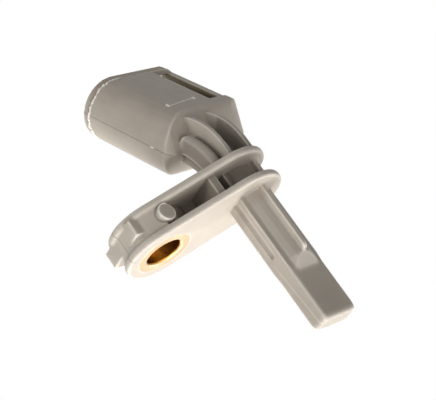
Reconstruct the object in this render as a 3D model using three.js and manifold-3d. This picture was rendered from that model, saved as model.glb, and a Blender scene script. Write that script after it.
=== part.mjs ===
// Wheel speed sensor: one moulded body with a brass bolt bush and two contacts that run to a chip.
// Millimetres. The origin is on the seat face, midway between the bolt axis and the stem axis.
// +Z points along the stem to its sensing tip, +Y is the direction in which the mould opens.

import * as THREE from 'three';
import { mergeVertices } from 'three/addons/utils/BufferGeometryUtils.js';
import Module from 'manifold-3d';

const wasm = await Module();
wasm.setup();

// Bolt and stem places
const boltToStemX = 14.0;
const boltToStemY = 9.3;
const bolt = new THREE.Vector2(boltToStemX / 2, boltToStemY / 2);
const stem = new THREE.Vector2(-boltToStemX / 2, -boltToStemY / 2);

// Flange: two plates with a boss, a web and a rib between them
const seatPlateThickness = 1.42;
const flangeHeight = 6.6;
const topPlateThickness = 1.4;
const boltEndRadius = 7.0;
const stemEndRadius = 6.7;
const stemEndShift = 0.2;
const plateBevel = 0.4;
const bossInset = 0.5;
const bossFaceX = 8.6;
const bushWall = 1.6;
const webThickness = 1.8;
const flangeRibX = -0.3;
const flangeRibThickness = 1.1;
const flangeRibInset = 0.9;

// Square lugs on the boss end and the round pad beside it
const lugReach = 6.4;
const lugNear = 4.35;
const lugFar = 5.2;
const lugGapBelow = 1.05;
const padDiameter = 3.3;
const padBeforeBolt = 0.85;
const padProud = 0.25;
const padRaise = 0.2;

// Stem: a flat bar with a round core and fins on its upper part, and a solid tip
const stemWidth = 7.35;
const stemThickness = 3.9;
const stemLength = 25.2;
const stemEdge = 0.5;
const coreRadius = 3.35;
const coreLength = 15.9;
const coreRamp = 2.6;
const finThickness = 0.8;
const finReach = 4.5;
const finLength = 13.2;
const sideGrooveWidth = 0.95;
const sideGrooveDepth = 0.45;
const sideGrooveLength = 11.4;

// Connector: a shroud whose axis leans away from the stem axis
const connectorTilt = THREE.MathUtils.degToRad(30.1);
const bendHeight = 9.9;
const mouthDistance = 26.9;
const ridgeDistance = 3.6;
const ridgeSlope = 0.6;
const ridgeFlat = 0.2;
const shroudEdgeRound = 1.4;
const shroudThickness = 11.8;
const shroudRight = 7.45;
const shroudLeft = -12.0;
const shroudCorner = 2.5;
const shroudWall = 1.3;
const frontRoundLeft = 3.9;
const frontRoundRight = 1.8;
const socketDepth = 17.2;
const lipLength = 1.6;
const lipStep = 0.1;
const latchWidth = 5.5;
const latchDrop = 0.9;
const bridgeLength = 1.75;
const railShoulder = 0.3;

// Neck between the flange and the connector
const neckHalfWidth = 4.2;
const neckNear = 1.75;
const neckFar = 2.7;
const neckCorner = 1.75;
const neckBendRadius = 12;
const neckRibRight = 1.25;
const neckRibLeft = -3.55;
const neckRibThickness = 0.95;
const neckRibReach = 4.65;
const neckRibBendHeight = 9.2;
const neckRibRadius = 13.0;
const neckRibTurn = THREE.MathUtils.degToRad(51);
const passingRibReach = 3.45;
const fingerWidth = 2.0;
const fingerReach = 3.3;
const fingerCorner = 0.95;
const fingerStep = 0.7;
const fingerFoot = -0.15;
const fingerEnd = 4.4;
const fingerTipRound = 1.6;

// Bolt bush
const bushBore = 6.4;
const bushOuter = 9.5;
const bushChamfer = 0.35;
const bushClearance = 0.12;

// Contacts and chip
const contactWidth = 1.2;
const contactThickness = 0.6;
const contactPitch = 5.0;
const leadPitch = 2.6;
const leadWidth = 1.0;
const contactTipInset = 6.0;
const jogDistance = 7.2;
const contactClearance = 0.3;
const chipWidth = 4.4;
const chipThickness = 1.5;
const chipLength = 4.2;
const chipFromTip = 1.2;

const round = 48;
const bit = 0.05;
const overshoot = 1.0;
const tidyTolerance = 0.01;

// Colours
const colours = {
  body: { color: 0xa69d92, roughness: 0.55, metalness: 0 },
  brass: { color: 0xc79a55, roughness: 0.35, metalness: 1 },
  contact: { color: 0xb9b4a6, roughness: 0.3, metalness: 1 },
  chip: { color: 0x26272a, roughness: 0.5, metalness: 0 },
};

// Solids
function toSolid(geometry, flipped = false) {
  const bare = geometry.clone();
  bare.deleteAttribute('normal');
  bare.deleteAttribute('uv');
  const merged = mergeVertices(bare, 1e-5);
  const vertProperties = new Float32Array(merged.attributes.position.array);
  const triVerts = new Uint32Array(merged.index.array);
  if (flipped) triVerts.reverse();
  return new wasm.Manifold(new wasm.Mesh({ numProp: 3, vertProperties, triVerts }));
}

function toGeometry(solid) {
  const mesh = solid.getMesh();
  const geometry = new THREE.BufferGeometry();
  geometry.setAttribute('position', new THREE.BufferAttribute(new Float32Array(mesh.vertProperties), 3));
  geometry.setIndex(Array.from(mesh.triVerts));
  geometry.computeVertexNormals();
  return geometry;
}

function join(...solids) {
  return solids.reduce((sum, next) => sum.add(next));
}

function mirrorAcrossStem(solid) {
  const mirrored = solid.mirror([0, 1, 0]);
  return mirrored.translate([0, 2 * stem.y, 0]);
}

// Extrusions along each axis of the part, and along the connector's axis
const alongZ = new THREE.Matrix4();
const alongX = new THREE.Matrix4().makeBasis(
  new THREE.Vector3(0, 1, 0), new THREE.Vector3(0, 0, 1), new THREE.Vector3(1, 0, 0));
const alongY = new THREE.Matrix4().makeBasis(
  new THREE.Vector3(0, 0, 1), new THREE.Vector3(1, 0, 0), new THREE.Vector3(0, 1, 0));

const socketAxis = new THREE.Vector3(0, Math.sin(connectorTilt), -Math.cos(connectorTilt));
const flatNormal = new THREE.Vector3(0, -Math.cos(connectorTilt), -Math.sin(connectorTilt));
const bend = new THREE.Vector3(stem.x, stem.y, -bendHeight);
const alongSocket = new THREE.Matrix4()
  .makeBasis(new THREE.Vector3(1, 0, 0), flatNormal, socketAxis).setPosition(bend);

function extrude(shape, from, to, frame = alongZ, bevel = 0) {
  const geometry = new THREE.ExtrudeGeometry(shape, {
    depth: to - from - 2 * bevel,
    bevelEnabled: bevel > 0,
    bevelSize: bevel,
    bevelOffset: -bevel,
    bevelThickness: bevel,
    bevelSegments: 2,
    curveSegments: round / 4,
  });
  geometry.translate(0, 0, from + bevel);
  geometry.applyMatrix4(frame);
  return toSolid(geometry, frame.determinant() < 0);
}

function boxShape(left, right, low, high) {
  const shape = new THREE.Shape();
  shape.moveTo(left, low);
  shape.lineTo(right, low);
  shape.lineTo(right, high);
  shape.lineTo(left, high);
  shape.closePath();
  return shape;
}

function box(minX, maxX, minY, maxY, minZ, maxZ) {
  return extrude(boxShape(minX, maxX, minY, maxY), minZ, maxZ);
}

function disc(x, y, radius) {
  const shape = new THREE.Shape();
  shape.absarc(x, y, radius, 0, 2 * Math.PI);
  return shape;
}

// Point in the Y-Z plane at a distance along the connector axis and off it
function besideSocket(distance, off) {
  return new THREE.Vector2(
    bend.y + distance * socketAxis.y + off * flatNormal.y,
    bend.z + distance * socketAxis.z + off * flatNormal.z,
  );
}

// Flange outline: two round ends joined by their common tangents, drawn inset by a margin
function flangeShape(margin = 0) {
  const toStem = new THREE.Vector2().subVectors(stem, bolt);
  const centre = stem.clone().addScaledVector(toStem.clone().normalize(), -stemEndShift);
  const span = new THREE.Vector2().subVectors(centre, bolt);
  const turn = Math.acos((boltEndRadius - stemEndRadius) / span.length());
  const heading = span.angle();
  const shape = new THREE.Shape();
  shape.absarc(bolt.x, bolt.y, boltEndRadius - margin, heading + turn, heading - turn + 2 * Math.PI);
  shape.absarc(centre.x, centre.y, stemEndRadius - margin, heading - turn, heading + turn);
  shape.closePath();
  return shape;
}

function buildFlange() {
  const gapTop = -flangeHeight + topPlateThickness;
  const gapBottom = -seatPlateThickness;
  const seatPlate = extrude(flangeShape(), -seatPlateThickness, 0, alongZ, plateBevel);
  const topPlate = extrude(flangeShape(), -flangeHeight, gapTop, alongZ, plateBevel);
  const between = (shape) => extrude(shape, gapTop - plateBevel, gapBottom + plateBevel);

  const boss = between(flangeShape(bossInset)).intersect(
    box(bossFaceX, bolt.x + 2 * boltEndRadius, -3 * boltEndRadius, 3 * boltEndRadius, -flangeHeight, 0));
  const ring = between(disc(bolt.x, bolt.y, bushOuter / 2 + bushWall));

  const webFrame = new THREE.Matrix4()
    .makeRotationZ(Math.atan2(boltToStemY, boltToStemX)).setPosition(stem.x, stem.y, 0);
  const span = Math.hypot(boltToStemX, boltToStemY);
  const web = extrude(
    boxShape(0, span - bushOuter / 2 - bushClearance - bit, -webThickness / 2, webThickness / 2),
    gapTop - plateBevel, gapBottom + plateBevel, webFrame);

  const ribSlice = box(flangeRibX - flangeRibThickness / 2, flangeRibX + flangeRibThickness / 2,
    -3 * boltEndRadius, 3 * boltEndRadius, -flangeHeight, 0);
  const rib = between(flangeShape(flangeRibInset)).intersect(ribSlice);
  const ringLeft = bolt.x - bushOuter / 2 - bushWall / 2;
  const ribFilling = between(boxShape(flangeRibX, ringLeft, stem.y + boltToStemY / 2, bolt.y));

  const lug = box(bolt.x, bolt.x + lugReach, bolt.y - lugNear, bolt.y + lugFar,
    gapTop - plateBevel, gapBottom - lugGapBelow);
  const pad = extrude(disc(padMiddleZ(), bolt.x + padBeforeBolt, padDiameter / 2),
    padFaceY(), bolt.y - bushOuter / 2 - bushWall / 2, alongY);
  return join(seatPlate, topPlate, boss, ring, web, rib, ribFilling, lug, pad);
}

function padMiddleZ() {
  return -(seatPlateThickness + flangeHeight - topPlateThickness) / 2 - padRaise;
}

// The pad's face stands a little proud of the plates' near edge at its own place
function padFaceY() {
  const toStem = new THREE.Vector2().subVectors(stem, bolt).normalize();
  const edgeNormal = new THREE.Vector2(-toStem.y, toStem.x);
  if (edgeNormal.y > 0) edgeNormal.negate();
  return bolt.y + (boltEndRadius - edgeNormal.x * padBeforeBolt) / edgeNormal.y + 2 * padProud;
}

// Stem bar, its round core with a ramped end, the fins and the side grooves
function buildStem() {
  const halfWidth = stemWidth / 2;
  const halfThickness = stemThickness / 2;
  const top = -flangeHeight;
  const barShape = boxShape(stem.x - halfWidth, stem.x + halfWidth, stem.y - halfThickness, stem.y + halfThickness);
  const bar = extrude(barShape, top, stemLength, alongZ, stemEdge);

  const rampShape = new THREE.Shape();
  rampShape.moveTo(stem.y - coreRadius - overshoot, top);
  rampShape.lineTo(stem.y + coreRadius + overshoot, top);
  rampShape.lineTo(stem.y + coreRadius + overshoot, coreLength - coreRamp);
  rampShape.lineTo(stem.y + coreRadius, coreLength - coreRamp);
  rampShape.lineTo(stem.y + halfThickness - bit, coreLength);
  rampShape.lineTo(stem.y - halfThickness + bit, coreLength);
  rampShape.lineTo(stem.y - coreRadius, coreLength - coreRamp);
  rampShape.lineTo(stem.y - coreRadius - overshoot, coreLength - coreRamp);
  rampShape.closePath();
  const core = extrude(disc(stem.x, stem.y, coreRadius), top, coreLength)
    .intersect(extrude(rampShape, stem.x - 2 * coreRadius, stem.x + 2 * coreRadius, alongX));

  const finStart = -seatPlateThickness / 2;
  const finShape = new THREE.Shape();
  finShape.moveTo(stem.y, finStart);
  finShape.lineTo(stem.y, finLength);
  finShape.lineTo(stem.y - coreRadius + bit, finLength);
  finShape.quadraticCurveTo(stem.y - finReach, finLength, stem.y - finReach, finLength - finReach + coreRadius);
  finShape.lineTo(stem.y - finReach, finStart);
  finShape.closePath();
  const nearFin = extrude(finShape, stem.x - finThickness / 2, stem.x + finThickness / 2, alongX);
  const solid = join(bar, core, nearFin, mirrorAcrossStem(nearFin));

  const grooveAt = (x) => box(x - sideGrooveDepth, x + sideGrooveDepth,
    stem.y - sideGrooveWidth / 2, stem.y + sideGrooveWidth / 2, 0, sideGrooveLength);
  return solid.subtract(grooveAt(stem.x + halfWidth)).subtract(grooveAt(stem.x - halfWidth));
}

// Shroud section: a round end on the right and small corners on the left, inset by a margin
function shroudShape(margin = 0) {
  const half = shroudThickness / 2 - margin;
  const left = shroudLeft + margin;
  const corner = Math.max(shroudCorner - margin, bit);
  const roundX = shroudRight - shroudThickness / 2;
  const shape = new THREE.Shape();
  shape.absarc(roundX, 0, half, -Math.PI / 2, Math.PI / 2);
  shape.absarc(left + corner, half - corner, corner, Math.PI / 2, Math.PI);
  shape.absarc(left + corner, -half + corner, corner, Math.PI, 1.5 * Math.PI);
  shape.closePath();
  return shape;
}

// Place of the gable along the connector axis, at a distance off that axis
function gableDistance(off) {
  return ridgeDistance + ridgeSlope * Math.abs(off);
}

function buildConnector() {
  const lipStart = mouthDistance - lipLength;
  const half = shroudThickness / 2;
  const outer = extrude(shroudShape(), ridgeDistance - bit, lipStart, alongSocket);
  const lip = extrude(shroudShape(lipStep), lipStart - bit, mouthDistance, alongSocket);

  // Side view of the shroud: its front end is a gable with a narrow flat on its ridge
  const side = new THREE.Shape();
  side.moveTo(mouthDistance, -half);
  side.lineTo(mouthDistance, half);
  const edge = half - shroudEdgeRound;
  side.lineTo(gableDistance(half + shroudEdgeRound), half);
  side.quadraticCurveTo(gableDistance(half), half, gableDistance(edge), edge);
  side.lineTo(gableDistance(ridgeFlat), ridgeFlat);
  side.lineTo(gableDistance(ridgeFlat), -ridgeFlat);
  side.lineTo(gableDistance(edge), -edge);
  side.quadraticCurveTo(gableDistance(half), -half, gableDistance(half + shroudEdgeRound), -half);
  side.closePath();
  const sideAlongX = new THREE.Matrix4().makeBasis(
    socketAxis, flatNormal, new THREE.Vector3(-1, 0, 0)).setPosition(bend);
  const envelope = extrude(side, -shroudRight - overshoot, -shroudLeft + overshoot, sideAlongX);

  return join(outer, lip).intersect(envelope)
    .subtract(buildFrontCut(shroudLeft, frontRoundLeft))
    .subtract(buildFrontCut(shroudRight, frontRoundRight));
}

// What is cut off one front corner of the shroud, so that its rounding follows the gable
function buildFrontCut(edge, radius) {
  const outward = Math.sign(edge);
  const outside = edge + outward * overshoot;
  const centreX = edge - outward * radius;
  const front = ridgeDistance - overshoot;
  const corner = new THREE.Shape();
  corner.moveTo(outside, front);
  corner.lineTo(centreX, front);
  corner.absarc(centreX, ridgeDistance + radius, radius + bit,
    1.5 * Math.PI, outward < 0 ? Math.PI : 2 * Math.PI, outward < 0);
  corner.lineTo(outside, ridgeDistance + radius);
  corner.closePath();
  // The halves meet a bit off the middle plane, clear of the shroud's own edges there
  const seam = bend.clone().addScaledVector(flatNormal, bit);
  const cutAlong = (sign) => {
    const slanted = flatNormal.clone().multiplyScalar(sign).addScaledVector(socketAxis, ridgeSlope);
    const frame = new THREE.Matrix4()
      .makeBasis(new THREE.Vector3(1, 0, 0), socketAxis, slanted).setPosition(seam);
    return extrude(corner, 0, shroudThickness / 2 + overshoot, frame);
  };
  return join(cutAlong(1), cutAlong(-1));
}

function buildSocketCut() {
  const floor = mouthDistance - socketDepth;
  const half = shroudThickness / 2;
  const socket = extrude(shroudShape(shroudWall), floor, mouthDistance + overshoot, alongSocket);
  const windowTop = mouthDistance - bridgeLength;
  const windowLeft = shroudLeft + shroudWall + railShoulder;
  const windowShape = boxShape(windowLeft, shroudLeft + latchWidth, half - 2 * shroudWall, half + overshoot);
  const latchWindow = extrude(windowShape, floor + bit, windowTop, alongSocket);
  const railShape = boxShape(shroudLeft - overshoot, windowLeft + bit, half - latchDrop, half + overshoot);
  const railCut = extrude(railShape, floor + bit, windowTop, alongSocket);
  return join(socket, latchWindow, railCut);
}

// Section of a flat bar with round edges, across the neck and off its axis
function neckBarShape(left, right, far, near, corner) {
  const shape = new THREE.Shape();
  shape.moveTo(left + corner, far);
  shape.absarc(right - corner, far + corner, corner, -Math.PI / 2, 0);
  shape.absarc(right - corner, near - corner, corner, 0, Math.PI / 2);
  shape.absarc(left + corner, near - corner, corner, Math.PI / 2, Math.PI);
  shape.absarc(left + corner, far + corner, corner, Math.PI, 1.5 * Math.PI);
  shape.closePath();
  return shape;
}

// Extrusion that runs up from the flange, turns in an arc and ends on the connector axis
function extrudeRoundBend(shape, start, end, radius) {
  const arcStart = -bendHeight + radius * Math.tan(connectorTilt / 2);
  const arcLength = radius * connectorTilt;
  const before = start - arcStart;
  const after = end - radius * Math.tan(connectorTilt / 2);
  const steps = 16;
  const depth = before + arcLength + after;
  const geometry = new THREE.ExtrudeGeometry(shape, {
    depth, steps, bevelEnabled: false, curveSegments: round / 4 });
  const places = geometry.attributes.position;
  for (let i = 0; i < places.count; i += 1) {
    const distance = places.getZ(i) - before;
    const turned = THREE.MathUtils.clamp(distance, 0, arcLength) / radius;
    const straight = distance - turned * radius;
    const reach = radius + places.getY(i);
    const y = stem.y + radius - reach * Math.cos(turned) + straight * Math.sin(turned);
    const z = arcStart - reach * Math.sin(turned) - straight * Math.cos(turned);
    places.setXYZ(i, stem.x + places.getX(i), y, z);
  }
  return toSolid(geometry);
}

// Neck: a bent bar, with a finger on its near side that ends before the shroud
function buildNeckColumn() {
  const start = -flangeHeight + topPlateThickness / 2;
  const corner = Math.min(neckCorner, (neckNear + neckFar) / 2 - bit);
  const barShape = neckBarShape(-neckHalfWidth, neckHalfWidth, -neckFar, neckNear, corner);
  const bar = extrudeRoundBend(barShape, start, gableDistance(neckFar) + overshoot, neckBendRadius);
  const fingerRight = neckHalfWidth + fingerStep;
  const fingerShape = new THREE.Shape();
  fingerShape.moveTo(fingerRight - fingerWidth, fingerFoot);
  fingerShape.lineTo(fingerRight, fingerFoot);
  fingerShape.absarc(fingerRight - fingerCorner, fingerReach - fingerCorner, fingerCorner, 0, Math.PI / 2);
  fingerShape.absarc(fingerRight - fingerWidth + fingerCorner, fingerReach - fingerCorner, fingerCorner,
    Math.PI / 2, Math.PI);
  fingerShape.closePath();
  const finger = extrudeRoundBend(fingerShape, start, fingerEnd, neckBendRadius);

  const tip = besideSocket(fingerEnd - fingerTipRound, fingerReach - fingerTipRound);
  const sideTrim = new THREE.Shape();
  const foot = besideSocket(fingerEnd, -neckNear);
  const tipEnd = besideSocket(fingerEnd, fingerReach - fingerTipRound);
  sideTrim.moveTo(stem.y + neckNear, start);
  sideTrim.lineTo(stem.y - 2 * fingerReach, start);
  sideTrim.lineTo(stem.y - 2 * fingerReach, tip.y - fingerTipRound * flatNormal.y);
  sideTrim.absarc(tip.x, tip.y, fingerTipRound, Math.PI + connectorTilt, 1.5 * Math.PI + connectorTilt);
  sideTrim.lineTo(tipEnd.x, tipEnd.y);
  sideTrim.lineTo(foot.x, foot.y);
  sideTrim.closePath();
  const trim = extrude(sideTrim, stem.x, stem.x + 2 * neckHalfWidth, alongX);
  return join(bar, finger.intersect(trim));
}

// Ribs that follow the bend on its near side; the left one goes on between the plates
function buildNeckRibs() {
  const bottom = -flangeHeight + topPlateThickness / 2;
  const reach = stem.y - neckRibReach;
  const inner = besideSocket(gableDistance(neckRibReach), 0);
  const rib = new THREE.Shape();
  rib.moveTo(stem.y, bottom);
  rib.lineTo(reach, bottom);
  rib.lineTo(reach, -neckRibBendHeight);
  rib.absarc(reach + neckRibRadius, -neckRibBendHeight, neckRibRadius, Math.PI, Math.PI + neckRibTurn);
  rib.lineTo(inner.x, inner.y);
  rib.closePath();
  const ribAt = (from) => extrude(rib, stem.x + from, stem.x + from + neckRibThickness, alongX);
  const passing = box(stem.x + neckRibLeft, stem.x + neckRibLeft + neckRibThickness,
    stem.y - passingRibReach, stem.y, bottom, -seatPlateThickness / 2);
  return join(ribAt(neckRibRight), ribAt(neckRibLeft), passing);
}

// One contact: a blade in the socket, a jog in the wall behind it and a lead down to the chip
function contactSolid(sign, margin) {
  const bladeX = sign * contactPitch / 2;
  const leadX = sign * leadPitch / 2;
  const halfThick = contactThickness / 2 + margin;
  const bladeTop = margin > 0 ? mouthDistance - socketDepth + overshoot : mouthDistance - contactTipInset;
  const blade = extrude(
    boxShape(bladeX - contactWidth / 2 - margin, bladeX + contactWidth / 2 + margin, -halfThick, halfThick),
    jogDistance - margin, bladeTop, alongSocket);
  const jogEnds = [bladeX - contactWidth / 2, bladeX + contactWidth / 2, leadX - leadWidth / 2, leadX + leadWidth / 2];
  const jog = extrude(
    boxShape(Math.min(...jogEnds) - margin, Math.max(...jogEnds) + margin, -halfThick, halfThick),
    jogDistance - margin, jogDistance + contactWidth + margin, alongSocket);
  const leadShape = boxShape(leadX - leadWidth / 2 - margin, leadX + leadWidth / 2 + margin, -halfThick, halfThick);
  const corner = halfThick * Math.tan(connectorTilt / 2);
  const slanted = extrude(leadShape, -corner, jogDistance + bit, alongSocket);
  const chipTop = stemLength - chipFromTip - chipLength;
  const straight = box(
    stem.x + leadX - leadWidth / 2 - margin, stem.x + leadX + leadWidth / 2 + margin,
    stem.y - halfThick, stem.y + halfThick,
    -bendHeight - corner, chipTop - (margin > 0 ? -bit : contactClearance));
  return join(blade, jog, slanted, straight);
}

function chipSolid(margin) {
  const tip = stemLength - chipFromTip;
  return box(
    stem.x - chipWidth / 2 - margin, stem.x + chipWidth / 2 + margin,
    stem.y - chipThickness / 2 - margin, stem.y + chipThickness / 2 + margin,
    tip - chipLength - margin, tip + margin);
}

function buildBush() {
  const inner = bushBore / 2;
  const outer = bushOuter / 2;
  const profile = [
    new THREE.Vector2(inner, -flangeHeight + bushChamfer),
    new THREE.Vector2(inner + bushChamfer, -flangeHeight),
    new THREE.Vector2(outer, -flangeHeight),
    new THREE.Vector2(outer, 0),
    new THREE.Vector2(inner + bushChamfer, 0),
    new THREE.Vector2(inner, -bushChamfer),
    new THREE.Vector2(inner, -flangeHeight + bushChamfer),
  ];
  const geometry = new THREE.LatheGeometry(profile, round);
  geometry.rotateX(Math.PI / 2);
  geometry.translate(bolt.x, bolt.y, 0);
  return toSolid(geometry);
}

function buildBody() {
  const bushHole = extrude(disc(bolt.x, bolt.y, bushOuter / 2 + bushClearance), -flangeHeight - overshoot, overshoot);
  return join(buildNeckColumn(), buildNeckRibs(), buildConnector(), buildFlange(), buildStem())
    .subtract(buildSocketCut())
    .subtract(bushHole)
    .subtract(contactSolid(1, contactClearance))
    .subtract(contactSolid(-1, contactClearance))
    .subtract(chipSolid(contactClearance));
}

function makeMesh(name, solid, look) {
  const geometry = toGeometry(solid.asOriginal().simplify(tidyTolerance));
  const mesh = new THREE.Mesh(geometry, new THREE.MeshStandardMaterial(look));
  mesh.name = name;
  return mesh;
}

const sensor = new THREE.Group();
sensor.name = 'wheel_speed_sensor';
sensor.add(makeMesh('sensor_body', buildBody(), colours.body));
sensor.add(makeMesh('bolt_bush', buildBush(), colours.brass));
sensor.add(makeMesh('contact_right', contactSolid(1, 0), colours.contact));
sensor.add(makeMesh('contact_left', contactSolid(-1, 0), colours.contact));
sensor.add(makeMesh('sensing_chip', chipSolid(0), colours.chip));

export default sensor;
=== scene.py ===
import math
import bmesh
import bpy
import numpy as np
from mathutils import Matrix, Vector


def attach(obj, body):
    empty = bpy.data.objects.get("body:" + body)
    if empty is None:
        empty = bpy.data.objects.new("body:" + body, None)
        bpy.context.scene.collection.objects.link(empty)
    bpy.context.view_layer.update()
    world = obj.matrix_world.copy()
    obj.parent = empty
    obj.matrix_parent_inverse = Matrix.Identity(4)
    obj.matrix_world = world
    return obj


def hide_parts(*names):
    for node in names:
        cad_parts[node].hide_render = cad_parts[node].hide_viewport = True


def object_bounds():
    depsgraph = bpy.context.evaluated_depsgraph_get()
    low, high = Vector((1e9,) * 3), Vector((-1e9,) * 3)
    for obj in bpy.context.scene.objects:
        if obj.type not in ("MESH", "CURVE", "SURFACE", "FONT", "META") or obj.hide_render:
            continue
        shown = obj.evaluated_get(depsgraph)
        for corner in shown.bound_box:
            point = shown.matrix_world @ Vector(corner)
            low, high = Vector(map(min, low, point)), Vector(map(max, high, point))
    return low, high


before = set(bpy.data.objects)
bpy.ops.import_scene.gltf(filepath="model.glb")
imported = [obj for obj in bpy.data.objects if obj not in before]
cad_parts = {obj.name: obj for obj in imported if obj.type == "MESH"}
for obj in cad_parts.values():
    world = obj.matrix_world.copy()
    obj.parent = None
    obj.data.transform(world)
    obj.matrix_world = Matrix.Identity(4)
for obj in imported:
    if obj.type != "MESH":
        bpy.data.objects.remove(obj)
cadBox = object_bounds()
print("loaded the frame:", sorted(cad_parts))

mm = 0.001  # in metres, the frame's unit

# Places of the CAD part that the details below are laid on, in millimetres
stemAxis = (-7.0, -4.65)
boltAxis = (7.0, 4.65)
connector = {
    "tilt": math.radians(30.1),
    "bendHeight": 9.9,
    "mouth": 26.9,
    "halfThickness": 5.9,
    "right": 7.45,
    "left": -12.0,
}

# The photo's camera: its place in millimetres, and the picture's directions in the frame
camera = {
    "place": (154.32, -163.68, 80.04),
    "right": (-0.7226, -0.4255, 0.5447),
    "down": (0.2188, 0.6067, 0.7642),
    "forward": (-0.6557, 0.6714, -0.3453),
    "lens": 119.28,
    "sensor": 36.0,
    "clip": (0.005, 20.0),
}


def addCamera():
    lensData = bpy.data.cameras.new("photo_camera")
    lensData.sensor_fit = "HORIZONTAL"
    lensData.sensor_width = camera["sensor"]
    lensData.lens = camera["lens"]
    lensData.clip_start, lensData.clip_end = camera["clip"]
    holder = bpy.data.objects.new("photo_camera", lensData)
    right = Vector(camera["right"]).normalized()
    forward = Vector(camera["forward"])
    forward = (forward - right * forward.dot(right)).normalized()
    down = forward.cross(right)
    turn = Matrix((right, -down, -forward)).transposed()
    place = Vector(camera["place"]) * mm
    holder.matrix_world = Matrix.Translation(place) @ turn.to_4x4()
    bpy.context.collection.objects.link(holder)
    bpy.context.scene.camera = holder


# Studio: most of the light falls on the seat face from a broad bank of lamps, little comes from the side
lamps = {
    "top": {"from": (0.06, 0.03, 0.35), "watts": 0.68},
    "topRight": {"from": (0.20, 0.00, 0.29), "watts": 0.42},
    "nearTop": {"from": (0.08, -0.26, 0.24), "watts": 0.23},
    "topFar": {"from": (0.05, 0.24, 0.26), "watts": 0.60},
    "topLeft": {"from": (-0.24, 0.06, 0.26), "watts": 0.52},
    "far": {"from": (0.00, 0.35, 0.06), "watts": 0.35},
    "low": {"from": (0.30, -0.02, -0.19), "watts": 0.88},
}
studio = {
    "lampSize": 0.22,
    "lampColour": (1.0, 0.992, 0.975),
    "fill": 0.42,
    "fillColour": (1.0, 0.985, 0.965),
    "floorDrop": 0.16,
    "floorReach": 3.0,
    "floorShade": 0.15,
    "middle": (0.0, 0.0, -0.005),
}


def addLamps():
    middle = Vector(studio["middle"])
    for name, lamp in lamps.items():
        data = bpy.data.lights.new("lamp_" + name, "AREA")
        data.shape = "DISK"
        data.size = studio["lampSize"]
        data.energy = lamp["watts"]
        data.color = studio["lampColour"]
        holder = bpy.data.objects.new("lamp_" + name, data)
        place = Vector(lamp["from"])
        aim = (middle - place).to_track_quat("-Z", "Y")
        holder.matrix_world = Matrix.Translation(place) @ aim.to_matrix().to_4x4()
        bpy.context.collection.objects.link(holder)


# Small steps in a node tree
def calc(tree, operation, *values):
    node = tree.nodes.new("ShaderNodeMath")
    node.operation = operation
    for value, socket in zip(values, node.inputs):
        if isinstance(value, (int, float)):
            socket.default_value = value
        else:
            tree.links.new(value, socket)
    return node.outputs[0]


def product(tree, first, *others):
    for other in others:
        first = calc(tree, "MULTIPLY", first, other)
    return first


def largest(tree, first, *others):
    for other in others:
        first = calc(tree, "MAXIMUM", first, other)
    return first


def length(tree, first, second):
    # The root of the sum of two squares
    squares = calc(tree, "ADD", product(tree, first, first), product(tree, second, second))
    return calc(tree, "SQRT", squares)


def whiteToEye(tree, lit, white):
    # White for the rays that reach the eye, also by way of metal or glass, and the lit shader for the others
    path = tree.nodes.new("ShaderNodeLightPath")
    toEye = largest(tree, path.outputs["Is Camera Ray"], path.outputs["Is Glossy Ray"],
                    path.outputs["Is Transmission Ray"])
    choose = tree.nodes.new("ShaderNodeMixShader")
    tree.links.new(toEye, choose.inputs[0])
    tree.links.new(lit.outputs[0], choose.inputs[1])
    tree.links.new(white.outputs[0], choose.inputs[2])
    return choose.outputs[0]


def addWorld():
    world = bpy.data.worlds.new("studio")
    bpy.context.scene.world = world
    world.use_nodes = True
    tree = world.node_tree
    tree.nodes.clear()
    output = tree.nodes.new("ShaderNodeOutputWorld")
    fill = tree.nodes.new("ShaderNodeBackground")
    fill.inputs["Color"].default_value = (*studio["fillColour"], 1)
    fill.inputs["Strength"].default_value = studio["fill"]
    white = tree.nodes.new("ShaderNodeBackground")
    white.inputs["Color"].default_value = (1, 1, 1, 1)
    white.inputs["Strength"].default_value = 1
    tree.links.new(whiteToEye(tree, fill, white), output.inputs["Surface"])


def addFloor():
    low = cadBox[0][2] - studio["floorDrop"]
    reach = studio["floorReach"]
    corners = [(-reach, -reach, low), (reach, -reach, low), (reach, reach, low), (-reach, reach, low)]
    mesh = bpy.data.meshes.new("floor")
    mesh.from_pydata(corners, [], [(0, 1, 2, 3)])
    floor = bpy.data.objects.new("floor", mesh)
    bpy.context.collection.objects.link(floor)
    material = bpy.data.materials.new("floor_white")
    material.use_nodes = True
    tree = material.node_tree
    tree.nodes.clear()
    output = tree.nodes.new("ShaderNodeOutputMaterial")
    paint = tree.nodes.new("ShaderNodeBsdfDiffuse")
    paint.inputs["Color"].default_value = (*[studio["floorShade"]] * 3, 1)
    glow = tree.nodes.new("ShaderNodeEmission")
    glow.inputs["Color"].default_value = (1, 1, 1, 1)
    glow.inputs["Strength"].default_value = 1
    tree.links.new(whiteToEye(tree, paint, glow), output.inputs["Surface"])
    mesh.materials.append(material)


addCamera()
addLamps()
addWorld()
addFloor()
bpy.context.scene.view_settings.view_transform = "Standard"
print("camera, lamps and floor are up")


# Shader effects that more than one material uses, and the steps that they are made of
def newGroup(name, inputs, outputs):
    group = bpy.data.node_groups.new(name, "ShaderNodeTree")
    for label, kind in inputs:
        group.interface.new_socket(label, in_out="INPUT", socket_type=kind)
    for label, kind in outputs:
        group.interface.new_socket(label, in_out="OUTPUT", socket_type=kind)
    entry = group.nodes.new("NodeGroupInput")
    leave = group.nodes.new("NodeGroupOutput")
    return group, entry, leave


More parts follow.
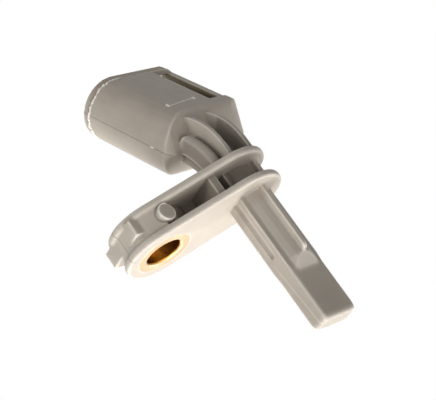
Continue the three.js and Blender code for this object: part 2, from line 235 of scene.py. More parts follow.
def noiseAt(tree, vector, scale, detail, roughness=0.5):
    noise = tree.nodes.new("ShaderNodeTexNoise")
    noise.inputs["Detail"].default_value = detail
    noise.inputs["Roughness"].default_value = roughness
    tree.links.new(vector, noise.inputs["Vector"])
    if isinstance(scale, (int, float)):
        noise.inputs["Scale"].default_value = scale
    else:
        tree.links.new(scale, noise.inputs["Scale"])
    return noise.outputs["Fac"]


def mapTo(tree, value, low, high, toLow, toHigh):
    ramp = tree.nodes.new("ShaderNodeMapRange")
    ramp.inputs["From Min"].default_value = low
    ramp.inputs["From Max"].default_value = high
    ramp.inputs["To Min"].default_value = toLow
    ramp.inputs["To Max"].default_value = toHigh
    tree.links.new(value, ramp.inputs["Value"])
    return ramp.outputs["Result"]


def mixColour(tree, factor, first, second):
    # Inputs 0, 6 and 7 of a Mix node are its factor and its two colours
    mix = tree.nodes.new("ShaderNodeMix")
    mix.data_type = "RGBA"
    for value, socket in ((factor, mix.inputs[0]), (first, mix.inputs[6]), (second, mix.inputs[7])):
        if isinstance(value, tuple):
            socket.default_value = (*value, 1)
        else:
            tree.links.new(value, socket)
    return mix.outputs[2]


def nearTo(tree, value, middle, reach, soft):
    # 1 where a value lies within reach of its middle, with a soft border
    away = calc(tree, "ABSOLUTE", calc(tree, "SUBTRACT", value, middle))
    return mapTo(tree, away, reach + soft, reach - soft, 0, 1)


def above(tree, value, limit, soft):
    return mapTo(tree, value, limit - soft, limit + soft, 0, 1)


def below(tree, value, limit, soft):
    return mapTo(tree, value, limit + soft, limit - soft, 0, 1)


# The noise of the mottle and of the grain, and the part of its range that they use
surface = {
    "mottleDetail": 3,
    "mottleRange": (0.35, 0.65),
    "grainDetail": 4,
    "grainRoughness": 0.6,
    "grainRange": (0.3, 0.7),
}


def makeMottle():
    # Slow shade changes in a moulded or machined surface
    group, entry, leave = newGroup(
        "mottle",
        [("Colour", "NodeSocketColor"), ("Other", "NodeSocketColor"), ("Scale", "NodeSocketFloat")],
        [("Colour", "NodeSocketColor")])
    place = group.nodes.new("ShaderNodeTexCoord").outputs["Object"]
    slow = noiseAt(group, place, entry.outputs["Scale"], surface["mottleDetail"])
    factor = mapTo(group, slow, *surface["mottleRange"], 0, 1)
    mixed = mixColour(group, factor, entry.outputs["Colour"], entry.outputs["Other"])
    group.links.new(mixed, leave.inputs["Colour"])
    return group


def makeGrain():
    # Fine unevenness of a surface, as a height and as a roughness
    group, entry, leave = newGroup(
        "grain",
        [("Scale", "NodeSocketFloat"), ("Low", "NodeSocketFloat"), ("High", "NodeSocketFloat")],
        [("Height", "NodeSocketFloat"), ("Roughness", "NodeSocketFloat")])
    place = group.nodes.new("ShaderNodeTexCoord").outputs["Object"]
    fine = noiseAt(group, place, entry.outputs["Scale"], surface["grainDetail"], surface["grainRoughness"])
    ramp = group.nodes.new("ShaderNodeMapRange")
    ramp.inputs["From Min"].default_value, ramp.inputs["From Max"].default_value = surface["grainRange"]
    group.links.new(fine, ramp.inputs["Value"])
    group.links.new(entry.outputs["Low"], ramp.inputs["To Min"])
    group.links.new(entry.outputs["High"], ramp.inputs["To Max"])
    group.links.new(fine, leave.inputs["Height"])
    group.links.new(ramp.outputs["Result"], leave.inputs["Roughness"])
    return group


def placeInMillimetres(tree):
    scaled = tree.nodes.new("ShaderNodeVectorMath")
    scaled.operation = "SCALE"
    scaled.inputs["Scale"].default_value = 1 / mm
    tree.links.new(tree.nodes.new("ShaderNodeTexCoord").outputs["Object"], scaled.inputs[0])
    return scaled.outputs[0]


# Marks that the mould leaves on the housing, and painted shade and painted highlights, in millimetres. Each
# mask is 1 on its mark and 0 elsewhere.
# A band is given as (middle, reach, soft border) and an edge as (place, soft border).
wanderNoise = {"scale": 1.6, "detail": 3, "roughness": 0.7}


def connectorPlaces(group):
    # Places in the frame, and the same ones across, along and off the connector's tilted axis
    place = placeInMillimetres(group)
    parts = group.nodes.new("ShaderNodeSeparateXYZ")
    group.links.new(place, parts.inputs[0])
    x, y, z = (parts.outputs[label] for label in "XYZ")
    sine, cosine = math.sin(connector["tilt"]), math.cos(connector["tilt"])
    fromStem = calc(group, "SUBTRACT", y, stemAxis[1])
    fromBend = calc(group, "ADD", z, connector["bendHeight"])
    under = calc(group, "ADD", product(group, fromStem, cosine), product(group, fromBend, sine))
    return {
        "x": x,
        "y": y,
        "z": z,
        "fromStem": fromStem,
        "across": calc(group, "SUBTRACT", x, stemAxis[0]),
        "along": calc(group, "SUBTRACT", product(group, fromStem, sine), product(group, fromBend, cosine)),
        "off": product(group, under, -1),
        "wander": calc(group, "SUBTRACT", noiseAt(group, place, **wanderNoise), 0.5),
    }


trace = {
    "across": (2.6, 0.05, 0.04),
    "along": (15.45, 5.05, 0.8),
    "nearSide": (5.4, 0.1),
    "shade": 0.5,
}


def traceMask(group, at):
    # The faint trace on the near flat side
    line = product(group, nearTo(group, at["across"], *trace["across"]),
                   nearTo(group, at["along"], *trace["along"]))
    return product(group, line, above(group, at["off"], *trace["nearSide"]), trace["shade"])


seam = {
    "half": 0.07,
    "soft": 0.05,
    "wave": 0.25,
    "roundEnd": (6.45, 0.2),
    "shroudFrom": (3.9, 0.1),
    "bossFrom": (13.0, 0.2),
    "nickHalf": 0.1,
    "nickAlong": (8.3, 0.45, 0.1),
    "neckRadius": 12.0,
    "neckHeight": (-9.9, 3.1, 0.05),
    "neckAcross": (3.8, 0.6, 0.1),
}


def seamMasks(group, at):
    # The parting line: dark on the shroud's round end and the boss, pale in a nick and along the neck
    wavy = calc(group, "ADD", at["off"], product(group, at["wander"], seam["wave"]))
    roundEnd = above(group, at["across"], *seam["roundEnd"])
    onShroud = product(group, nearTo(group, wavy, 0, seam["half"], seam["soft"]),
                       above(group, at["along"], *seam["shroudFrom"]), roundEnd)
    onBoss = product(group, nearTo(group, at["y"], boltAxis[1], seam["half"], seam["soft"]),
                     above(group, at["x"], *seam["bossFrom"]))
    nick = product(group, nearTo(group, wavy, 0, seam["nickHalf"], seam["soft"]),
                   nearTo(group, at["along"], *seam["nickAlong"]), roundEnd)
    radius = seam["neckRadius"]
    arcStart = radius * math.tan(connector["tilt"] / 2) - connector["bendHeight"]
    fromCentre = length(group, calc(group, "SUBTRACT", at["fromStem"], radius),
                        calc(group, "SUBTRACT", at["z"], arcStart))
    onNeck = product(group, nearTo(group, fromCentre, radius, seam["half"], seam["soft"]),
                     nearTo(group, at["z"], *seam["neckHeight"]),
                     nearTo(group, at["across"], *seam["neckAcross"]))
    return largest(group, onShroud, onBoss), largest(group, onNeck, nick)


tipLine = {
    "start": 1.75,
    "slope": -0.082,
    "width": (0, 0.06, 0.05),
    "from": (12.5, 0.5),
    "side": (3.4, 0.05),
    "shade": 0.4,
}


def tipLineMask(group, at):
    # A thin pale line up the tip's narrow side, which leans a little as it rises
    line = calc(group, "ADD", product(group, at["z"], tipLine["slope"]), tipLine["start"])
    fromLine = calc(group, "SUBTRACT", at["fromStem"], line)
    return product(group, nearTo(group, fromLine, *tipLine["width"]), above(group, at["z"], *tipLine["from"]),
                   above(group, at["across"], *tipLine["side"]), tipLine["shade"])


lip = {
    "along": 25.3,
    "width": 0.5,
    "soft": 0.08,
    "wander": 0.5,
    "outside": (-4.9, 0.2),
    "nearSoft": 0.06,
    "nearSide": (3.2, 1.4),
    "nearShade": 0.6,
}


def lipMask(group, at):
    # The darker lip at the shroud's rim: an uneven band all round, and a fainter one on the near side
    rim = calc(group, "ADD", at["along"], product(group, at["wander"], lip["wander"]))
    half = lip["width"] / 2
    band = product(group, nearTo(group, rim, lip["along"] + half, half, lip["soft"]),
                   above(group, at["off"], *lip["outside"]))
    near = product(group, above(group, rim, lip["along"], lip["nearSoft"]),
                   above(group, at["off"], *lip["nearSide"]), lip["nearShade"])
    return largest(group, band, near)


# Painted highlight where the stem's round core ends
coreEnd = {
    "height": (14.6, 1.35, 0.2),
    "nearSide": (-2.1, 0.1),
    "across": (0, 2.4, 0.4),
    "shade": 0.42,
}


def coreEndHighlightMask(group, at):
    # A painted highlight on the end of the stem's round core
    return product(group, nearTo(group, at["z"], *coreEnd["height"]),
                   below(group, at["fromStem"], *coreEnd["nearSide"]),
                   nearTo(group, at["across"], *coreEnd["across"]), coreEnd["shade"])


streak = {
    "stretch": (1.4, 1.4, 0.1),
    "noise": {"scale": 1.0, "detail": 3, "roughness": 0.6},
    "range": (0.35, 0.65),
    "from": (4, 0.5),
    "shade": 0.07,
}


def streakMask(group, at):
    # Faint drawing lines along the connector's axis, from noise that is stretched along it
    pulled = group.nodes.new("ShaderNodeCombineXYZ")
    for label, stretch, socket in zip(("across", "off", "along"), streak["stretch"], pulled.inputs):
        group.links.new(product(group, at[label], stretch), socket)
    drawn = mapTo(group, noiseAt(group, pulled.outputs[0], **streak["noise"]), *streak["range"],
                  0, streak["shade"])
    return product(group, drawn, above(group, at["along"], *streak["from"]))


# Where the socket's painted inside shade lies: within its wall and past its floor
hollow = {
    "wall": 1.15,
    "soft": 0.1,
    "floor": (9.5, 0.3),
}


def paintedInsideShadeMask(group, at):
    # Painted shade, with an olive tint for light shining through the thin wall, on the socket's inner faces,
    # which lie nearer than the wall to the middle plane or to the round end's axis
    half = connector["halfThickness"]
    pastAxis = largest(group, calc(group, "SUBTRACT", at["across"], connector["right"] - half), 0)
    fromMiddle = length(group, pastAxis, at["off"])
    return product(group, nearTo(group, fromMiddle, 0, half - hollow["wall"], hollow["soft"]),
                   above(group, at["across"], connector["left"] + hollow["wall"], hollow["soft"]),
                   above(group, at["along"], *hollow["floor"]))


pad = {
    "centre": (7.85, -3.51),
    "before": -0.35,
    "ring": (1.5, 0.09, 0.05),
    "side": (1.74, 0.1, 0.05),
}


def padMasks(group, at):
    # A pale ring on the pad's face, and painted shade at the pad's side
    fromPad = length(group, calc(group, "SUBTRACT", at["x"], pad["centre"][0]),
                     calc(group, "SUBTRACT", at["z"], pad["centre"][1]))
    onPad = calc(group, "LESS_THAN", at["y"], pad["before"])
    ring = product(group, nearTo(group, fromPad, *pad["ring"]), onPad)
    return ring, product(group, nearTo(group, fromPad, *pad["side"]), onPad)


# Painted shade in the slot between the plates, in the neck between and beside its ribs, at the pad's side,
# and growing up the stem
paintedShade = {
    "slotHeight": (-3.3, 1.75, 0.15),
    "slotLength": (-1.5, 7.2, 0.4),
    "slotShade": 0.72,
    "overFlange": (-6.75, 0.05),
    "underShroud": (3.6, 0.4),
    "betweenRibs": (-1.2, 1.9, 0.3),
    "besideRibs": (2.35, 0.1),
    "neckShade": 0.5,
    "tipHeights": (4, 25),
    "tipShade": 0.24,
}


def paintedShadeMask(group, at, paintedPadShade):
    # Painted shade where little light reaches: between the plates, between the neck's ribs and at the pad's
    # side. The stem is painted slowly darker towards its tip.
    slot = product(group, nearTo(group, at["z"], *paintedShade["slotHeight"]),
                   nearTo(group, at["x"], *paintedShade["slotLength"]), paintedShade["slotShade"])
    betweenRibs = largest(group, nearTo(group, at["across"], *paintedShade["betweenRibs"]),
                          above(group, at["across"], *paintedShade["besideRibs"]))
    neck = product(group, below(group, at["z"], *paintedShade["overFlange"]),
                   below(group, at["along"], *paintedShade["underShroud"]), betweenRibs)
    corners = product(group, largest(group, neck, paintedPadShade), paintedShade["neckShade"])
    return largest(group, slot, corners, mapTo(group, at["z"], *paintedShade["tipHeights"], 0, paintedShade["tipShade"]))


# The mould's marks, and the masks of painted shade and painted highlights on the housing
def makeMouldMarksAndPaintedLight():
    labels = ("Seam", "LightSeam", "Lip", "Inside", "PaintedShade", "CoreEndHighlight", "Streak")
    group, _, leave = newGroup("mould_marks_and_painted_light", [], [(label, "NodeSocketFloat") for label in labels])
    at = connectorPlaces(group)
    darkSeam, paleSeam = seamMasks(group, at)
    padRing, paintedPadShade = padMasks(group, at)
    masks = {
        "Seam": largest(group, darkSeam, traceMask(group, at)),
        "LightSeam": largest(group, paleSeam, padRing, tipLineMask(group, at)),
        "Lip": lipMask(group, at),
        "Inside": paintedInsideShadeMask(group, at),
        "PaintedShade": paintedShadeMask(group, at, paintedPadShade),
        "CoreEndHighlight": coreEndHighlightMask(group, at),
        "Streak": streakMask(group, at),
    }
    for label, mask in masks.items():
        group.links.new(mask, leave.inputs[label])
    return group


mottle = makeMottle()
grain = makeGrain()
mouldMarksAndPaintedLight = makeMouldMarksAndPaintedLight()
print("shader groups are ready")


def placeGroup(tree, group, **values):
    node = tree.nodes.new("ShaderNodeGroup")
    node.node_tree = group
    for label, value in values.items():
        node.inputs[label].default_value = (*value, 1) if isinstance(value, tuple) else value
    return node


def newMaterial(name):
    material = bpy.data.materials.new(name)
    material.use_nodes = True
    tree = material.node_tree
    shader = tree.nodes["Principled BSDF"]
    return material, tree, shader


def bumpFrom(tree, shader, height, strength, distance):
    bump = tree.nodes.new("ShaderNodeBump")
    bump.inputs["Strength"].default_value = strength
    bump.inputs["Distance"].default_value = distance
    tree.links.new(height, bump.inputs["Height"])
    tree.links.new(bump.outputs["Normal"], shader.inputs["Normal"])


def mottleAndGrain(tree, look):
    # The mottled colour, and the grain's height and roughness
    shade = placeGroup(tree, mottle, Colour=look["colour"], Other=look["other"], Scale=look["mottleScale"])
    low, high = look["roughness"]
    fine = placeGroup(tree, grain, Scale=look["grainScale"], Low=low, High=high)
    return shade.outputs["Colour"], fine.outputs["Height"], fine.outputs["Roughness"]


def plainMaterial(name, look):
    # A finish of mottle and grain alone
    material, tree, shader = newMaterial(name)
    colour, height, roughness = mottleAndGrain(tree, look)
    tree.links.new(colour, shader.inputs["Base Color"])
    tree.links.new(roughness, shader.inputs["Roughness"])
    shader.inputs["Metallic"].default_value = look["metallic"]
    bumpFrom(tree, shader, height, look["bump"], look["bumpDistance"])
    return material


housing = {
    "colour": (0.50, 0.45, 0.388),
    "other": (0.46, 0.415, 0.36),
    "mottleScale": 260.0,
    "grainScale": 2600.0,
    "roughness": (0.42, 0.52),
    "specular": 0.18,
    "bump": 0.25,
    "bumpDistance": 0.00003,
    # Colours of the painted highlights on edges and the core's end, of painted shade, and of the mould's
    # marks
    "paintedHighlightColour": (0.72, 0.67, 0.61),
    "edgeStart": 0.1,
    "edgeHighlightShare": 0.75,
    "creaseShadeShare": 0.2,
    "paintedShadeAndStreakColour": (0.15, 0.13, 0.105),
    "insideShadeColour": (0.28, 0.23, 0.14),
    "seamColour": (0.26, 0.23, 0.19),
    "lightSeamColour": (0.93, 0.90, 0.85),
    "lipColour": (0.34, 0.28, 0.21),
    "mergeDistance": 1e-7,
    "voxel": 0.16,
    "smoothing": 2,
    "edgeSmoothing": 10,
    "edgeDepth": 0.06,
    "triangles": 185000,
}


def housingMaterial():
    material, tree, shader = newMaterial("moulded_nylon")
    colour, height, roughness = mottleAndGrain(tree, housing)
    marksAndPaintedLight = placeGroup(tree, mouldMarksAndPaintedLight).outputs
    edge = tree.nodes.new("ShaderNodeAttribute")
    edge.attribute_name = "edge"
    # Painted highlight on the outer edges, and painted shade in the creases, stronger inside the painted
    # shade of the recesses
    paintedEdgeHighlight = mapTo(tree, edge.outputs["Fac"], housing["edgeStart"], 1, 0, housing["edgeHighlightShare"])
    paintedCreaseShade = mapTo(tree, edge.outputs["Fac"], -housing["edgeStart"], -1, 0, 1)
    paintedCreaseShade = product(tree, paintedCreaseShade, calc(tree, "ADD", marksAndPaintedLight["PaintedShade"], housing["creaseShadeShare"]))
    # Layers over the mottle: streaks, painted shade, painted highlights, painted crease shade, painted inside
    # shade, the lip and the seams
    layers = (
        (marksAndPaintedLight["Streak"], "paintedShadeAndStreakColour"),
        (marksAndPaintedLight["PaintedShade"], "paintedShadeAndStreakColour"),
        (paintedEdgeHighlight, "paintedHighlightColour"),
        (marksAndPaintedLight["CoreEndHighlight"], "paintedHighlightColour"),
        (paintedCreaseShade, "paintedShadeAndStreakColour"),
        (marksAndPaintedLight["Inside"], "insideShadeColour"),
        (marksAndPaintedLight["Lip"], "lipColour"),
        (marksAndPaintedLight["Seam"], "seamColour"),
        (marksAndPaintedLight["LightSeam"], "lightSeamColour"),
    )
    for mask, name in layers:
        colour = mixColour(tree, mask, colour, housing[name])
    tree.links.new(colour, shader.inputs["Base Color"])
    tree.links.new(roughness, shader.inputs["Roughness"])
    shader.inputs["Specular IOR Level"].default_value = housing["specular"]
    bumpFrom(tree, shader, height, housing["bump"], housing["bumpDistance"])
    return material


def readPoints(mesh):
    points = np.empty(len(mesh.vertices) * 3, dtype=np.float32)
    mesh.vertices.foreach_get("co", points)
    return points.reshape(-1, 3).astype(np.float64)


def readNormals(mesh):
    normals = np.empty(len(mesh.vertices) * 3, dtype=np.float32)
    mesh.vertices.foreach_get("normal", normals)
    return normals.reshape(-1, 3).astype(np.float64)


def relaxed(mesh, rounds):
    # Each point moves half way to the mean of its neighbours, which rounds the edges a little
    ends = np.empty(len(mesh.edges) * 2, dtype=np.int32)
    mesh.edges.foreach_get("vertices", ends)
    first, second = ends[0::2], ends[1::2]
    count = np.bincount(ends, minlength=len(mesh.vertices)).astype(np.float64)[:, None]
    points = readPoints(mesh)
    for _ in range(rounds):
        total = np.empty_like(points)
        for axis in range(3):
            total[:, axis] = (np.bincount(first, points[second, axis], len(points))
                              + np.bincount(second, points[first, axis], len(points)))
        points += 0.5 * (total / count - points)
    return points


def relax(mesh, rounds):
    mesh.vertices.foreach_set("co", relaxed(mesh, rounds).astype(np.float32).ravel())
    mesh.update()


# How far the stem's edges are rounded, in millimetres of height and in rounds of smoothing
stemEdges = {
    "tipFrom": 13.5,
    "tipRun": 2.0,
    "tipRounds": 22,
    "endFrom": 23.4,
    "endRun": 1.2,
    "endRounds": 40,
    "grooveFrom": 0.4,
    "grooveTo": 12.2,
    "grooveHalf": 0.85,
    "groovePast": 3.0,
    "grooveShare": 0.5,
}


def softenStem(mesh):
    # The tip and the side grooves have rounder edges than the thin ribs and fins
    points = readPoints(mesh)
    x, y, z = (points / mm).T
    onTip = np.clip((z - stemEdges["tipFrom"]) / stemEdges["tipRun"], 0, 1)
    onGroove = np.abs(x - stemAxis[0]) > stemEdges["groovePast"]
    onGroove &= np.abs(y - stemAxis[1]) < stemEdges["grooveHalf"]
    onGroove &= (z > stemEdges["grooveFrom"]) & (z < stemEdges["grooveTo"])
    share = np.maximum(onTip, stemEdges["grooveShare"] * onGroove)[:, None]
    onEnd = np.clip((z - stemEdges["endFrom"]) / stemEdges["endRun"], 0, 1)[:, None]
    soft, softer = relaxed(mesh, stemEdges["tipRounds"]), relaxed(mesh, stemEdges["endRounds"])
    points += share * (soft - points)
    points += onEnd * (softer - points)
    mesh.vertices.foreach_set("co", points.astype(np.float32).ravel())
    mesh.update()


def markEdges(mesh):
    # 1 on the sharpest outer edges, -1 in the sharpest creases and 0 on flat stretches
    height = np.sum(readNormals(mesh) * (readPoints(mesh) - relaxed(mesh, housing["edgeSmoothing"])), axis=1)
    edge = np.clip(height / (housing["edgeDepth"] * mm), -1, 1).astype(np.float32)
    attribute = mesh.attributes.new("edge", "FLOAT", "POINT")
    attribute.data.foreach_set("value", edge)


def applyModifiers(piece):
    # The mesh that the modifiers make takes the old one's place
    graph = bpy.context.evaluated_depsgraph_get()
    finished = bpy.data.meshes.new_from_object(piece.evaluated_get(graph))
    piece.modifiers.clear()
    piece.data = finished


def refinedCopy(node, name):
    # A closed copy of a CAD node on an even grid of points, a little smoothed
    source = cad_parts[node]
    mesh = source.data.copy()
    mesh.name = name
    shape = bmesh.new()
    shape.from_mesh(mesh)
    bmesh.ops.remove_doubles(shape, verts=shape.verts, dist=housing["mergeDistance"])
    shape.to_mesh(mesh)
    shape.free()
    piece = bpy.data.objects.new(name, mesh)
    bpy.context.collection.objects.link(piece)
    remesh = piece.modifiers.new("even", "REMESH")
    remesh.mode = "VOXEL"
    remesh.voxel_size = housing["voxel"] * mm
    applyModifiers(piece)
    relax(piece.data, housing["smoothing"])
    return piece


def thin(piece, triangles):
    mesh = piece.data
    mesh.calc_loop_triangles()
    now = len(mesh.loop_triangles)
    if now > triangles:
        decimate = piece.modifiers.new("thin", "DECIMATE")
        decimate.ratio = triangles / now
        applyModifiers(piece)


def makeHousing():
    piece = refinedCopy("sensor_body", "housing")
    print("housing remeshed:", len(piece.data.vertices), "points")
    softenStem(piece.data)
    markEdges(piece.data)
    thin(piece, housing["triangles"])
    mesh = piece.data
    mesh.shade_smooth()
    mesh.materials.clear()
    mesh.materials.append(housingMaterial())
    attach(piece, "root")
    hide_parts("sensor_body")
    print("housing finished:", len(mesh.polygons), "faces")


makeHousing()


# Thin ridges of flash: a rough burr round the shroud's rim, a dash on its near side, a nub on the stem
ridgeShape = {"sides": 8, "awayFrom": (0.31, 0.52, 0.79)}
burr = {
    "along": 25.15,
    "from": 0.2,
    "leadPoints": 40,
    "downTo": -75.0,
    "points": 420,
    "radius": (0.11, 0.29),
    "lumpPower": 0.8,
    "growth": (0.1, 4.0),
    "wander": 0.18,
    "fastShare": 0.5,
    "spacings": (17, 5, 9),
    "seed": 7,
    "colour": (0.95, 0.93, 0.89),
    "other": (0.78, 0.74, 0.68),
    "mottleScale": 900.0,
    "grainScale": 3000.0,
    "roughness": (0.4, 0.6),
    "metallic": 0,
    "bump": 0.3,
    "bumpDistance": 0.00003,
}
dash = {
    "from": (2.5, 10.2),
    "to": (-3.9, 11.2),
    "tick": 0.75,
    "points": 60,
    "radius": (0.06, 0.11),
    "spacing": 6,
    "endRadius": 0.19,
    "endPoints": 3,
}
nub = {
    "from": (-3.36, -2.95, 7.9),
    "to": (-3.36, -2.72, 9.3),
    "points": 12,
    "radius": 0.2,
    "blunt": 0.05,
}


def fromSocket(across, off, along):
    # Points of the frame, in metres, from places across, off and along the connector's tilted axis
    sine, cosine = math.sin(connector["tilt"]), math.cos(connector["tilt"])
    x = stemAxis[0] + across
    y = stemAxis[1] + along * sine - off * cosine
    z = -connector["bendHeight"] - along * cosine - off * sine
    return np.stack([x, y, z], axis=-1) * mm


def unevenness(chance, count, spacing):
    # Random values between -1 and 1 at every few points, with straight lines between them
    knots = chance.uniform(-1, 1, count // spacing + 2)
    return np.interp(np.arange(count) / spacing, np.arange(len(knots)), knots)


def ridge(name, path, radius, material):
    # A round tube: circles of the given radii stand square to the path, each joined to the next
    sides = ridgeShape["sides"]
    ahead = np.gradient(path, axis=0)
    ahead /= np.linalg.norm(ahead, axis=1, keepdims=True)
    side = np.cross(ahead, ridgeShape["awayFrom"])
    side /= np.linalg.norm(side, axis=1, keepdims=True)
    upward = np.cross(ahead, side)
    angle = np.linspace(0, 2 * np.pi, sides, endpoint=False)[None, :, None]
    ring = np.cos(angle) * side[:, None] + np.sin(angle) * upward[:, None]
    points = path[:, None] + radius[:, None, None] * ring
    count = len(path)
    i, j = np.meshgrid(np.arange(count - 1) * sides, np.arange(sides), indexing="ij")
    nextI = i + sides
    nextJ = (j + 1) % sides
    faces = np.stack([i + j, i + nextJ, nextI + nextJ, nextI + j], axis=-1)
    ends = [list(range(sides))[::-1], list(range((count - 1) * sides, count * sides))]
    mesh = bpy.data.meshes.new(name)
    mesh.from_pydata(points.reshape(-1, 3).tolist(), [], faces.reshape(-1, 4).tolist() + ends)
    mesh.shade_smooth()
    mesh.materials.append(material)
    piece = bpy.data.objects.new(name, mesh)
    bpy.context.collection.objects.link(piece)
    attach(piece, "root")


def makeBurr(chance, material):
    # The path runs along the rim's near side, on round its round end, and wanders along the tilted axis
    half = connector["halfThickness"]
    middle = connector["right"] - half
    turn = np.radians(np.linspace(90, burr["downTo"], burr["points"]))
    lead = np.linspace(burr["from"], middle, burr["leadPoints"], endpoint=False)
    across = np.concatenate([lead, middle + half * np.cos(turn)])
    off = np.concatenate([np.full(len(lead), half), half * np.sin(turn)])
    count = len(across)
    slow, fast, lumps = [unevenness(chance, count, spacing) for spacing in burr["spacings"]]
    along = burr["along"] + burr["wander"] * (slow + burr["fastShare"] * fast)
    low, high = burr["radius"]
    size = low + (high - low) * np.abs(lumps) ** burr["lumpPower"]
    size *= np.minimum(1, np.linspace(*burr["growth"], count)) * mm
    ridge("rim_burr", fromSocket(across, off, along), size, material)


def makeDash(chance, material):
    # The path is straight across the near flat side, with a short tick along the axis at each end
    start, end = np.array(dash["from"]), np.array(dash["to"])
    tick = np.array((0, dash["tick"]))
    t = np.linspace(0, 1, dash["points"])[:, None]
    line = np.concatenate([[start + tick], start + (end - start) * t, [end - tick]])
    count = len(line)
    low, high = dash["radius"]
    size = (low + (high - low) * np.abs(unevenness(chance, count, dash["spacing"]))) * mm
    size[:dash["endPoints"]] = dash["endRadius"] * mm
    size[-dash["endPoints"]:] = dash["endRadius"] * mm
    off = np.full(count, connector["halfThickness"])
    ridge("near_dash", fromSocket(line[:, 0], off, line[:, 1]), size, material)


def makeNub(material):
    # The path is straight, and the radius follows half an ellipse with blunt ends
    t = np.linspace(0, 1, nub["points"])
    start, end = np.array(nub["from"]), np.array(nub["to"])
    path = start + t[:, None] * (end - start)
    size = nub["radius"] * np.sqrt(np.maximum(nub["blunt"], 1 - (2 * t - 1) ** 2))
    ridge("stem_nub", path * mm, size * mm, material)


def makeFlash():
    material = plainMaterial("mould_flash", burr)
    chance = np.random.default_rng(burr["seed"])
    makeBurr(chance, material)
    makeDash(chance, material)
    makeNub(material)
    print("flash ridges finished")


makeFlash()


# The bush, in millimetres; its height goes down from the seat face
bush = {
    "inner": 3.2,
    "outer": 4.98,
    "height": 6.6,
    "chamfer": 0.35,
    "edge": 0.08,
    "edgeSteps": 4,
    "sideShare": 0.45,
    "turns": 160,
    "colour": (0.70, 0.50, 0.30),
    "other": (0.64, 0.44, 0.25),
    "mottleScale": 180.0,
    "grainScale": 1500.0,
    "roughness": (0.26, 0.36),
    "rimFrom": (3.36, 0.06),
    "rimMetallic": 0.45,
    # The bore's colour is painted: light in the reflection's band, and dark as painted shade elsewhere
    "bore": (0.66, 0.37, 0.07),
    "paintedBoreShade": (0.20, 0.08, 0.012),
    "paintedBoreReflection": (-0.9, 1.7, 0.9),
    "boreNoise": {"scale": 0.5, "detail": 3},
    "boreSway": 2,
    "ringPitch": 0.21,
    "ringBump": 0.6,
    "ringHeight": 0.00002,
}


def bushMaterial():
    # Turning rings on the end face, and a bore with a painted reflection in a band on one side of its axis
    # and painted shade elsewhere
    material, tree, shader = newMaterial("machined_brass")
    place = placeInMillimetres(tree)
    parts = tree.nodes.new("ShaderNodeSeparateXYZ")
    tree.links.new(place, parts.inputs[0])
    fromBoltX = calc(tree, "SUBTRACT", parts.outputs["X"], boltAxis[0])
    fromBoltY = calc(tree, "SUBTRACT", parts.outputs["Y"], boltAxis[1])
    radius = length(tree, fromBoltX, fromBoltY)
    onRim = above(tree, radius, *bush["rimFrom"])
    # The band of painted reflection sways with slow noise; the rest of the bore is painted dark
    slow = noiseAt(tree, place, **bush["boreNoise"])
    sway = product(tree, calc(tree, "SUBTRACT", slow, 0.5), bush["boreSway"])
    lit = nearTo(tree, calc(tree, "ADD", fromBoltX, sway), *bush["paintedBoreReflection"])
    bore = mixColour(tree, lit, bush["paintedBoreShade"], bush["bore"])
    rim, _, roughness = mottleAndGrain(tree, bush)
    tree.links.new(mixColour(tree, onRim, bore, rim), shader.inputs["Base Color"])
    tree.links.new(roughness, shader.inputs["Roughness"])
    tree.links.new(mapTo(tree, onRim, 0, 1, 1, bush["rimMetallic"]), shader.inputs["Metallic"])
    turning = calc(tree, "SINE", product(tree, radius, 2 * math.pi / bush["ringPitch"]))
    bumpFrom(tree, shader, product(tree, turning, onRim), bush["ringBump"], bush["ringHeight"])
    return material


def ringOfProfile(name, profile, axis, turns):
    # A closed profile of radius and height, turned about a line along Z through the given axis
    angle = np.linspace(0, 2 * np.pi, turns, endpoint=False)[:, None]
    radius = profile[None, :, 0]
    x = axis[0] + radius * np.cos(angle)
    y = axis[1] + radius * np.sin(angle)
    z = np.broadcast_to(profile[None, :, 1], x.shape)
    points = np.stack([x, y, z], axis=-1).reshape(-1, 3) * mm
    count = len(profile)
    i, j = np.meshgrid(np.arange(turns), np.arange(count), indexing="ij")
    nextI = (i + 1) % turns
    nextJ = (j + 1) % count
    faces = np.stack([i * count + j, nextI * count + j, nextI * count + nextJ, i * count + nextJ], axis=-1)
    mesh = bpy.data.meshes.new(name)
    mesh.from_pydata(points.tolist(), [], faces.reshape(-1, 4).tolist())
    piece = bpy.data.objects.new(name, mesh)
    bpy.context.collection.objects.link(piece)
    return piece


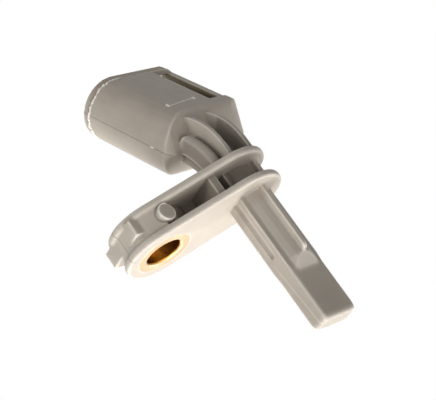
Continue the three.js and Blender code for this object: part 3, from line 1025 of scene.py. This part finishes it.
def roundedProfile(corners, radius):
    # Each corner of a closed outline becomes a short curve between points cut back along its sides
    corners = np.asarray(corners, dtype=np.float64)
    before = np.roll(corners, 1, axis=0) - corners
    after = np.roll(corners, -1, axis=0) - corners
    reachBefore = np.linalg.norm(before, axis=1, keepdims=True)
    reachAfter = np.linalg.norm(after, axis=1, keepdims=True)
    start = corners + before / reachBefore * np.minimum(radius, bush["sideShare"] * reachBefore)
    end = corners + after / reachAfter * np.minimum(radius, bush["sideShare"] * reachAfter)
    t = np.linspace(0, 1, bush["edgeSteps"] + 1)[None, :, None]
    curve = (1 - t) ** 2 * start[:, None] + 2 * t * (1 - t) * corners[:, None] + t ** 2 * end[:, None]
    return curve.reshape(-1, 2)


def makeBush():
    inner, outer = bush["inner"], bush["outer"]
    height, chamfer = bush["height"], bush["chamfer"]
    corners = [(inner, -height + chamfer), (inner + chamfer, -height), (outer, -height),
               (outer, 0), (inner + chamfer, 0), (inner, -chamfer)]
    profile = roundedProfile(corners, bush["edge"])
    piece = ringOfProfile("brass_bush", profile, boltAxis, bush["turns"])
    mesh = piece.data
    shape = bmesh.new()
    shape.from_mesh(mesh)
    bmesh.ops.recalc_face_normals(shape, faces=shape.faces)
    shape.to_mesh(mesh)
    shape.free()
    mesh.shade_smooth()
    mesh.materials.append(bushMaterial())
    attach(piece, "root")
    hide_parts("bolt_bush")
    print("bush finished")


makeBush()


# The contacts and the chip keep their CAD meshes
contact = {
    "colour": (0.72, 0.70, 0.64),
    "other": (0.62, 0.60, 0.55),
    "mottleScale": 400.0,
    "grainScale": 2000.0,
    "roughness": (0.42, 0.55),
    "metallic": 1,
    "bump": 0.1,
    "bumpDistance": 0.00002,
}
chip = {
    "colour": (0.03, 0.03, 0.034),
    "other": (0.045, 0.045, 0.05),
    "mottleScale": 900.0,
    "grainScale": 4000.0,
    "roughness": (0.5, 0.65),
    "metallic": 0,
    "bump": 0.2,
    "bumpDistance": 0.00002,
}


def dressNode(node, material):
    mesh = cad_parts[node].data
    for slot in range(max(1, len(mesh.materials))):
        if slot < len(mesh.materials):
            mesh.materials[slot] = material
        else:
            mesh.materials.append(material)


tinned = plainMaterial("tinned_contact", contact)
dressNode("contact_right", tinned)
dressNode("contact_left", tinned)
dressNode("sensing_chip", plainMaterial("chip_black", chip))
print("contacts and chip dressed")
